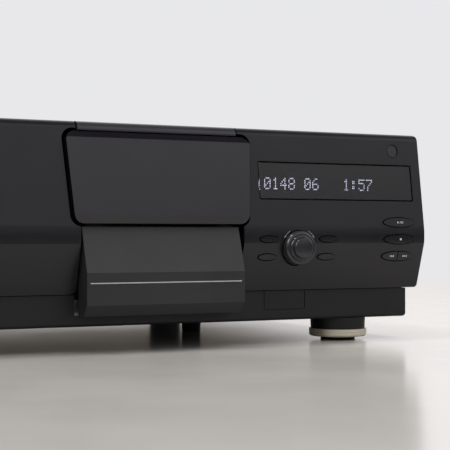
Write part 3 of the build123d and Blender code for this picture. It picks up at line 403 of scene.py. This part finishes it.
def putMesh(name, points, faces, finish, body, smooth=False):
    # points in mm behind the fascia's top edge become a mesh in metres that rides on a body
    mesh = bpy.data.meshes.new(name)
    placed = np.asarray(points, float) * mm + np.array((0.0, depthShift, 0.0))
    mesh.from_pydata(placed.tolist(), [], [list(map(int, face)) for face in faces])
    mesh.materials.append(made[finish])
    mesh.polygons.foreach_set("use_smooth", np.full(len(mesh.polygons), smooth))
    piece = bpy.data.objects.new(name, mesh)
    bpy.context.scene.collection.objects.link(piece)
    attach(piece, body)
    return piece


def gridFaces(rows, columns, closedRows=False, closedColumns=False):
    # quads between neighbouring points of a grid that is stored row by row
    r = np.arange(rows if closedRows else rows - 1)
    c = np.arange(columns if closedColumns else columns - 1)
    r, c = np.meshgrid(r, c, indexing="ij")
    a, b = r * columns + c, r * columns + (c + 1) % columns
    nextRow = (r + 1) % rows * columns
    return np.stack((a, b, nextRow + (c + 1) % columns, nextRow + c), axis=-1).reshape(-1, 4)


def inkOnFront(name, outlines, finish, body, proud=0.0):
    # flat outlines in X and Z, each wound the same way seen from the front, laid on the fascia's face
    # as a film: a front skin, a back skin on the face, and a rim between them
    points, faces = [], []
    for outline in outlines:
        flat = np.asarray(outline, float)
        count, start = len(flat), len(points)
        for lift in (front["inkThickness"], 0.0):
            depth = frontDepth(flat[:, 1]) - proud - lift
            points.extend(np.column_stack((flat[:, 0], depth, flat[:, 1])))
        faces.append([start + k for k in range(count)])
        faces.append([start + count + k for k in reversed(range(count))])
        faces.extend([start + k, start + count + k, start + count + (k + 1) % count, start + (k + 1) % count]
                     for k in range(count))
    return putMesh(name, points, faces, finish, body)


display = {"text": "0148 06   1:57", "firstX": 87.5, "pitch": 6.82, "middleZ": 118.35, "faceY": 2.2,
           "dotPitch": (1.14, 1.29), "dotSize": (0.72, 0.82), "corner": 0.15, "thickness": 0.06}

digitRows = {  # five dots across and seven down, the bits of each row from the left
    "0": (14, 17, 19, 21, 25, 17, 14), "1": (4, 12, 4, 4, 4, 4, 14), "2": (14, 17, 1, 2, 4, 8, 31),
    "3": (31, 2, 4, 2, 1, 17, 14), "4": (2, 6, 10, 18, 31, 2, 2), "5": (31, 16, 30, 1, 1, 17, 14),
    "6": (6, 8, 16, 30, 17, 17, 14), "7": (31, 1, 2, 4, 8, 8, 8), "8": (14, 17, 17, 14, 17, 17, 14),
    "9": (14, 17, 17, 15, 1, 2, 12), ":": (0, 12, 12, 0, 12, 12, 0), " ": (0,) * 7}


def displayDigits():
    # each lit dot is a small octagonal plate on the face of the tube, placed by cell, column and row
    spots = [(display["firstX"] + cell * display["pitch"] + (column - 2) * display["dotPitch"][0],
              display["middleZ"] + (3 - row) * display["dotPitch"][1])
             for cell, sign in enumerate(display["text"]) for row, bits in enumerate(digitRows[sign])
             for column in range(5) if bits >> (4 - column) & 1]
    halfX, halfZ, cut = display["dotSize"][0] / 2, display["dotSize"][1] / 2, display["corner"]
    outline = np.array([(-halfX, -halfZ + cut), (-halfX + cut, -halfZ), (halfX - cut, -halfZ),
                        (halfX, -halfZ + cut), (halfX, halfZ - cut), (halfX - cut, halfZ),
                        (-halfX + cut, halfZ), (-halfX, halfZ - cut)])
    rings = np.array(spots)[:, None, :] + outline[None, :, :]
    back = np.full(rings.shape[:2] + (1,), display["faceY"])
    frontRing = np.concatenate((rings[..., :1], back - display["thickness"], rings[..., 1:]), axis=-1)
    backRing = np.concatenate((rings[..., :1], back, rings[..., 1:]), axis=-1)
    points = np.concatenate((frontRing, backRing), axis=1).reshape(-1, 3)
    base = np.arange(len(spots))[:, None] * 16
    faces = (base + np.arange(8)).tolist() + (base + np.arange(15, 7, -1)).tolist()
    k = np.arange(8)
    rim = np.stack((k, k + 8, (k + 1) % 8 + 8, (k + 1) % 8), axis=-1)
    faces += (base[:, :, None] + rim[None]).reshape(-1, 4).tolist()
    return putMesh("display_digits", points, faces, "phosphor", "cabinet")


displayDigits()
print("digits lit")


signs = {
    "height": 1.6, "barWidth": 0.45, "arrowWidth": 1.5,
    "play": (197.4, 90.2), "stop": (197.4, 77.3), "skip": (197.4, 64.4),  # each sign's middle, X and Z
    "playArrow": -1.8, "stroke": (-0.5, -0.2, 0.2), "pauseBars": (1.4, 2.4),  # X from the middle
    "skipMiddle": 5.6, "skipArrows": (-0.9, 0.7), "skipBar": 2.0,
}


def bar(x, z, width, height):
    # an upright bar about its middle, wound to face forwards
    return [(x - width / 2, z - height / 2), (x + width / 2, z - height / 2),
            (x + width / 2, z + height / 2), (x - width / 2, z + height / 2)]


def arrow(x, z, way):
    # a solid triangle that points along way, +1 to the right and -1 to the left
    half, reach = signs["height"] / 2, signs["arrowWidth"] / 2
    tip = [(x - way * reach, z - half), (x + way * reach, z), (x - way * reach, z + half)]
    return tip if way > 0 else tip[::-1]


def keySigns():
    # play with pause, stop, and the two skip signs, each riding on its own key
    height, width, proud = signs["height"], signs["barWidth"], front["keyProud"]
    x, z = signs["play"]
    left, right, reach = signs["stroke"]
    stroke = [(x + left, z - height / 2), (x + right, z - height / 2),
              (x - left, z + height / 2), (x + reach, z + height / 2)]
    pause = [bar(x + place, z, width, height) for place in signs["pauseBars"]]
    inkOnFront("play_key_sign", [arrow(x + signs["playArrow"], z, 1), stroke, *pause], "keyInk", "play_key",
               proud)
    inkOnFront("stop_key_sign", [bar(*signs["stop"], height, height)], "keyInk", "stop_key", proud)
    for way, body in ((-1, "skip_back_key"), (1, "skip_forward_key")):
        x, z = signs["skip"][0] + way * signs["skipMiddle"], signs["skip"][1]
        shapes = [arrow(x + place, z, way) for place in signs["skipArrows"]]
        shapes.append(bar(x + way * signs["skipBar"], z, width, height))
        inkOnFront(body + "_sign", shapes, "keyInk", body, proud)


keySigns()


knobMarks = {"x": 108.4, "z": 71.0, "radius": 14.6, "stroke": 0.28, "from": 122.0, "to": 143.0,
             "head": 0.95, "headLength": 2.0, "steps": 14}


def knobArcs():
    # two arcs about the knob, a stroke between two radii, each with an arrowhead at its lower end
    outlines = []
    for side in (1, -1):
        turn = np.radians(np.linspace(knobMarks["from"], knobMarks["to"], knobMarks["steps"]))
        turn = turn if side > 0 else np.pi - turn
        inner, outer = around(knobMarks["radius"], (-knobMarks["stroke"] / 2, knobMarks["stroke"] / 2))
        pieces = [((inner, a), (outer, a), (outer, b), (inner, b)) for a, b in zip(turn[:-1], turn[1:])]
        inner, outer = around(knobMarks["radius"], (-knobMarks["head"] / 2, knobMarks["head"] / 2))
        tip = turn[-1] + side * knobMarks["headLength"] / knobMarks["radius"]
        pieces.append(((inner, turn[-1]), (outer, turn[-1]), (knobMarks["radius"], tip)))
        outlines += [piece[::side] for piece in pieces]
    moved = [[(knobMarks["x"] + radius * math.cos(angle), knobMarks["z"] + radius * math.sin(angle))
              for radius, angle in outline] for outline in outlines]
    return inkOnFront("knob_arcs", moved, "arcInk", "cabinet")


knobArcs()
print("signs printed")


# the dark ring round the remote eye is painted shade: it stands for the shaded gap between lens and fascia
eyeShadeRing = {"x": 196.1, "z": 145.3, "radius": 5.0, "thick": 0.9, "proud": 0.12, "turns": 72, "sides": 12}


def makeEyeRing():
    # a dark ring of painted shade round the remote eye, standing for the shade in the gap between lens and
    # fascia: a circle of small radius carried along a circle on the face
    turn = np.linspace(0, math.tau, eyeShadeRing["turns"], endpoint=False)
    across = np.linspace(0, math.tau, eyeShadeRing["sides"], endpoint=False)
    turn, across = np.meshgrid(turn, across, indexing="ij")
    radius = eyeShadeRing["radius"] + eyeShadeRing["thick"] / 2 * np.cos(across)
    x, z = eyeShadeRing["x"] + radius * np.cos(turn), eyeShadeRing["z"] + radius * np.sin(turn)
    y = frontDepth(z) - eyeShadeRing["proud"] * np.sin(across)
    points = np.stack((x, y, z), axis=-1).reshape(-1, 3)
    faces = gridFaces(*turn.shape, True, True)[:, ::-1]
    return putMesh("eye_painted_shade_ring", points, faces, "rubber", "cabinet", True)


makeEyeRing()


screws = {
    "coverHalf": 216.0, "coverBack": 406.0,  # the cover's half width and the rear panel's back
    "side": ((70.0, 30.0), (370.0, 30.0)),  # depth and height on both sides of the cover
    "rear": ((-205.0, 148.0), (0.0, 148.0), (205.0, 148.0), (-205.0, 26.0), (205.0, 26.0),
             (-170.0, 64.0), (-143.5, 47.0)),  # X and height on the rear panel
    "radius": 3.4, "height": 1.6, "recess": 2.0, "arm": 0.42, "depth": 1.2, "armWall": 0.12,
    "endWall": 0.3, "taper": 0.5, "middle": 0.03, "rings": 26, "turns": 64, "turnedBy": 0.7,
}


def screwHead(turned):
    # a domed head on a grid of radius and angle. Its height is the full one times the square root of one
    # less the fourth power of the radius's share, less a cross-shaped recess with leaning walls
    part = np.linspace(screws["middle"], 1.0, screws["rings"])[:, None]
    turn = np.linspace(0, math.tau, screws["turns"], endpoint=False)[None, :]
    u, v = screws["radius"] * part * np.cos(turn), screws["radius"] * part * np.sin(turn)
    height = screws["height"] * np.sqrt(np.clip(1 - part ** 4, 0, 1)) + 0 * turn
    a, b = u * math.cos(turned) - v * math.sin(turned), u * math.sin(turned) + v * math.cos(turned)
    inArm = np.clip((screws["arm"] - np.minimum(abs(a), abs(b))) / screws["armWall"], 0, 1)
    inReach = np.clip((screws["recess"] - np.maximum(abs(a), abs(b))) / screws["endWall"], 0, 1)
    height = height - screws["depth"] * inArm * inReach * (1 - screws["taper"] * part)
    return u.ravel(), v.ravel(), height.ravel()


def makeScrews():
    # every head turned its own way, as a driver leaves it, its grid closed by one face in the middle
    places = [(side * screws["coverHalf"], y, z, side) for side in (-1, 1) for y, z in screws["side"]]
    places += [(x, screws["coverBack"], z, 0) for x, z in screws["rear"]]
    points, faces, count = [], [], screws["rings"] * screws["turns"]
    for number, (x, y, z, side) in enumerate(places):
        u, v, height = screwHead(screws["turnedBy"] * number)
        if side:
            points.append(np.column_stack((x + side * height, y + side * u, z + v)))
        else:
            points.append(np.column_stack((x - u, y + height, z + v)))
        start = number * count
        faces += (gridFaces(screws["rings"], screws["turns"], False, True)[:, ::-1] + start).tolist()
        faces.append(list(range(start, start + screws["turns"])))
    piece = putMesh("cross_recess_screws", np.concatenate(points), faces, "screwSteel", "cabinet", True)
    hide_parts("cover_screws")


makeScrews()


slots = {"count": 200, "every": 10, "radius": 187.0, "middleY": 204.0, "z": 46.02, "size": 4.4,
         "film": 0.02}


def slotNumbers():
    # printed on the comb's rim by every tenth slot, upright when its slot is at the front
    points, faces, start = [], [], 0
    for slot in range(slots["every"], slots["count"] + 1, slots["every"]):
        text = bpy.data.curves.new("slotNumber", "FONT")
        text.body, text.size, text.extrude = str(slot), slots["size"], slots["film"]
        text.align_x, text.align_y = "CENTER", "CENTER"
        shape = bpy.data.meshes.new_from_object(bpy.data.objects.new("slotNumber", text))
        flat = np.empty(len(shape.vertices) * 3)
        shape.vertices.foreach_get("co", flat)
        x, y, z = flat.reshape(-1, 3).T
        turn = math.tau * (slot / slots["count"] - 0.25)
        across, out = (-math.sin(turn), math.cos(turn)), (math.cos(turn), math.sin(turn))
        radius = slots["radius"] - y
        points.append(np.column_stack((radius * out[0] + x * across[0],
                                       radius * out[1] + x * across[1] + slots["middleY"], slots["z"] + z)))
        faces += [[start + corner for corner in face.vertices] for face in shape.polygons]
        start += len(x)
    return putMesh("slot_numbers", np.concatenate(points), faces, "slotInk", "carousel")


slotNumbers()


jacks = {"place": ((-182.0, "whiteInsulator"), (-158.0, "redInsulator")), "z": 50.0, "end": 414.6,
         "turns": 48, "radii": (1.34, 1.34, 1.7, 3.1, 3.46, 3.46), "behind": (1.5, 1.1, 0.9, 0.9, 1.1, 1.5)}


def jackInsulators():
    # the coloured washer between shell and pin: a profile of radius and depth behind the jack's end,
    # turned about the jack's axis
    radii, behind = np.array(jacks["radii"]), np.array(jacks["behind"])
    turn = np.linspace(0, math.tau, jacks["turns"], endpoint=False)[:, None]
    faces = gridFaces(len(turn), len(radii), True, True)[:, ::-1]
    for number, (x, finish) in enumerate(jacks["place"]):
        points = np.stack((x + radii * np.cos(turn), jacks["end"] - behind + 0 * turn,
                           jacks["z"] + radii * np.sin(turn)), axis=-1).reshape(-1, 3)
        putMesh(f"jack_insulator_{number}", points, faces, finish, "cabinet", True)


jackInsulators()
print("small pieces added")


stage = {
    # lengths in metres
    "floorSize": 12.0, "floorRows": 3, "floorColour": "#bab7b2", "floorPale": "#c1beb9",
    "floorGloss": (0.17, 0.21), "floorIor": 1.5, "cloudScale": 9.0, "cloudDetail": 3.0,
    "farColour": "#e8e8ea", "fadeFrom": 0.6, "fadeTo": 1.6,  # how far out the floor becomes the background
    # the stops below darken what a gloss sees of the floor: black past the table's end, and half dark close
    # in front of the object as painted shade, the shadow under its overhanging front
    "glossEndAndShade": ((-0.75, 1.0), (-0.45, 0.0), (-0.29, 0.0), (-0.22, 0.5)),  # by depth, for a gloss
    "leftLight": "#7d7974", "rightLight": "#f9f9fb", "lightTurn": (-0.5, 0.5),
}


def floorMaterial():
    # painted board with a soft gloss. Far from the object it fades into the background's colour, and a
    # gloss sees it end in front of the object as a table would, and sees it half dark close in front of the
    # object as painted shade, the shadow under the overhanging front
    material, tree, shader, place = newMaterial("paintedBoard", {"IOR": stage["floorIor"]})
    cloud = addNode(tree, "ShaderNodeTexNoise",
                    {"Scale": stage["cloudScale"], "Detail": stage["cloudDetail"]}, {"Vector": place})
    connect(tree, shader, twoTones(tree, cloud.outputs[0], stage["floorColour"], stage["floorPale"]),
            spread(tree, cloud.outputs[0], *stage["floorGloss"]))
    reach = addNode(tree, "ShaderNodeVectorMath", {"operation": "LENGTH"}, {0: place})
    fade = addNode(tree, "ShaderNodeMapRange",
                   {"interpolation_type": "SMOOTHSTEP", "From Min": stage["fadeFrom"],
                    "From Max": stage["fadeTo"]}, {"Value": reach.outputs["Value"]})
    ray = addNode(tree, "ShaderNodeLightPath")
    far = addNode(tree, "ShaderNodeEmission", {"Color": tone(stage["farColour"]), "Strength": 1.0})
    factor = addNode(tree, "ShaderNodeMath", {"operation": "MULTIPLY"},
                     {0: fade.outputs[0], 1: ray.outputs["Is Camera Ray"]})
    seen = addNode(tree, "ShaderNodeMixShader",
                   links={0: factor.outputs[0], 1: shader.outputs[0], 2: far.outputs[0]})
    split = addNode(tree, "ShaderNodeSeparateXYZ", links={0: place})
    # for gloss rays only: black past the table's end, and painted shade, half dark, close in front of the
    # object
    endAndPaintedShade = ramp(tree, spread(tree, split.outputs[1], 0.0, 1.0, -1.0, 0.0),
                  [(1.0 + depth, level) for depth, level in stage["glossEndAndShade"]])
    glossEndAndPaintedShade = addNode(tree, "ShaderNodeMath", {"operation": "MULTIPLY"},
                    {0: endAndPaintedShade, 1: ray.outputs["Is Glossy Ray"]})
    dark = addNode(tree, "ShaderNodeEmission", {"Color": tone("#000000"), "Strength": 0.0})
    mix = addNode(tree, "ShaderNodeMixShader",
                  links={0: glossEndAndPaintedShade.outputs[0], 1: seen.outputs[0], 2: dark.outputs[0]})
    output = [n for n in tree.nodes if n.type == "OUTPUT_MATERIAL"][0]
    tree.links.new(mix.outputs[0], output.inputs["Surface"])
    return material


def makeFloor():
    # a square grid at height zero
    side = np.linspace(-stage["floorSize"] / 2, stage["floorSize"] / 2, stage["floorRows"])
    x, y = np.meshgrid(side, side, indexing="ij")
    mesh = bpy.data.meshes.new("floor")
    mesh.from_pydata(np.column_stack((x.ravel(), y.ravel(), np.zeros(x.size))).tolist(), [],
                     gridFaces(*x.shape)[:, ::-1].tolist())
    mesh.materials.append(floorMaterial())
    floor = bpy.data.objects.new("floor", mesh)
    bpy.context.scene.collection.objects.link(floor)


room = {
    # what a gloss mirrors: in front a dim room by the height of the direction, behind a pale wall that
    # ends on the left
    "front": ((0.5, 0.05), (0.525, 0.06), (0.6, 0.6), (0.64, 0.92), (0.72, 1.15), (0.8, 1.15), (0.86, 0.5),
              (0.9, 0.05)),  # a height of 0.5 is level and 1 straight up
    "wall": 1.3, "wallDark": 0.03, "wallEnd": (-0.35, 0.05), "turn": (0.15, 0.45),
    "lowWall": "#cdb69c", "lowWallTop": (0.505, 0.54),  # the wall's foot is brown, as wood is
}


def makeWorld():
    # the studio's pale wall is seen as it is, and it lights the object at a plain level
    world = bpy.data.worlds.new("studio")
    bpy.context.scene.world = world
    world.use_nodes = True
    tree = world.node_tree
    tree.nodes.clear()
    ray = addNode(tree, "ShaderNodeLightPath")
    direction = addNode(tree, "ShaderNodeTexCoord")
    split = addNode(tree, "ShaderNodeSeparateXYZ", links={0: direction.outputs["Generated"]})
    height = addNode(tree, "ShaderNodeMapRange", {"From Min": -1.0}, {"Value": split.outputs[2]})
    ahead = ramp(tree, height.outputs[0], room["front"])
    wall = spread(tree, split.outputs[0], room["wallDark"], room["wall"], *room["wallEnd"])
    behind = spread(tree, split.outputs[1], 0.0, 1.0, *room["turn"])
    level = addNode(tree, "ShaderNodeMix", {}, {0: behind, 2: ahead, 3: wall})
    tint = twoTones(tree, height.outputs[0], room["lowWall"], stage["farColour"], *room["lowWallTop"])
    mirrored = addNode(tree, "ShaderNodeBackground", {}, {"Color": tint, "Strength": level.outputs[0]})
    seen = addNode(tree, "ShaderNodeBackground", {"Color": tone(stage["farColour"]), "Strength": 1.0})
    light = addNode(tree, "ShaderNodeBackground", {},
                    {"Color": twoTones(tree, split.outputs[0], stage["leftLight"], stage["rightLight"],
                                       *stage["lightTurn"])})
    first = addNode(tree, "ShaderNodeMixShader",
                    links={0: ray.outputs["Is Glossy Ray"], 1: light.outputs[0], 2: mirrored.outputs[0]})
    second = addNode(tree, "ShaderNodeMixShader",
                     links={0: ray.outputs["Is Camera Ray"], 1: first.outputs[0], 2: seen.outputs[0]})
    addNode(tree, "ShaderNodeOutputWorld", links={"Surface": second.outputs[0]})


lamps = {
    # softboxes: place and size in metres, watts, whether a gloss shows them, whether they light matt faces
    "overhead": {"place": (0.1, -0.5, 1.7), "size": 1.6, "power": 22.0, "glossy": False, "matt": True},
    "spot": {"place": (-0.45, -0.15, 1.5), "size": 0.3, "power": 6.0, "glossy": True, "matt": True},
    "side": {"place": (-1.0, -0.6, 1.05), "size": 0.6, "power": 9.0, "glossy": True, "matt": False},
    "back": {"place": (0.6, 1.8, 1.5), "size": 1.2, "power": 12.0, "glossy": False, "matt": True},
}
lampAim = (0.0, 0.0, 0.08)  # the middle of the object, in metres


def makeLamp(name, lamp):
    data = bpy.data.lights.new(name, "AREA")
    data.shape = "SQUARE"
    data.size = lamp["size"]
    data.energy = lamp["power"]
    holder = bpy.data.objects.new(name, data)
    bpy.context.scene.collection.objects.link(holder)
    holder.location = lamp["place"]
    aim = np.array(lampAim) - np.array(lamp["place"])
    flat = math.hypot(aim[0], aim[1])
    holder.rotation_euler = (math.atan2(flat, -aim[2]), 0.0, math.atan2(-aim[0], aim[1]))
    holder.visible_glossy = lamp["glossy"]
    holder.visible_diffuse = lamp["matt"]
    holder.visible_camera = False


camera = {"place": (-0.3526, -1.0032, 0.0802), "right": 26.7, "up": 0.48,  # metres and degrees
          "lens": 100.0, "sensor": 36.0, "clipStart": 0.05}


def makeCamera():
    data = bpy.data.cameras.new("camera")
    data.lens = camera["lens"]
    data.sensor_width = camera["sensor"]
    data.clip_start = camera["clipStart"]
    holder = bpy.data.objects.new("camera", data)
    bpy.context.scene.collection.objects.link(holder)
    holder.location = camera["place"]
    holder.rotation_euler = (math.radians(90 + camera["up"]), 0.0, math.radians(-camera["right"]))
    bpy.context.scene.camera = holder


makeFloor()
makeWorld()
for lampName, lampValues in lamps.items():
    makeLamp(lampName, lampValues)
makeCamera()
bpy.context.scene.view_settings.view_transform = "Standard"
print("stage set")
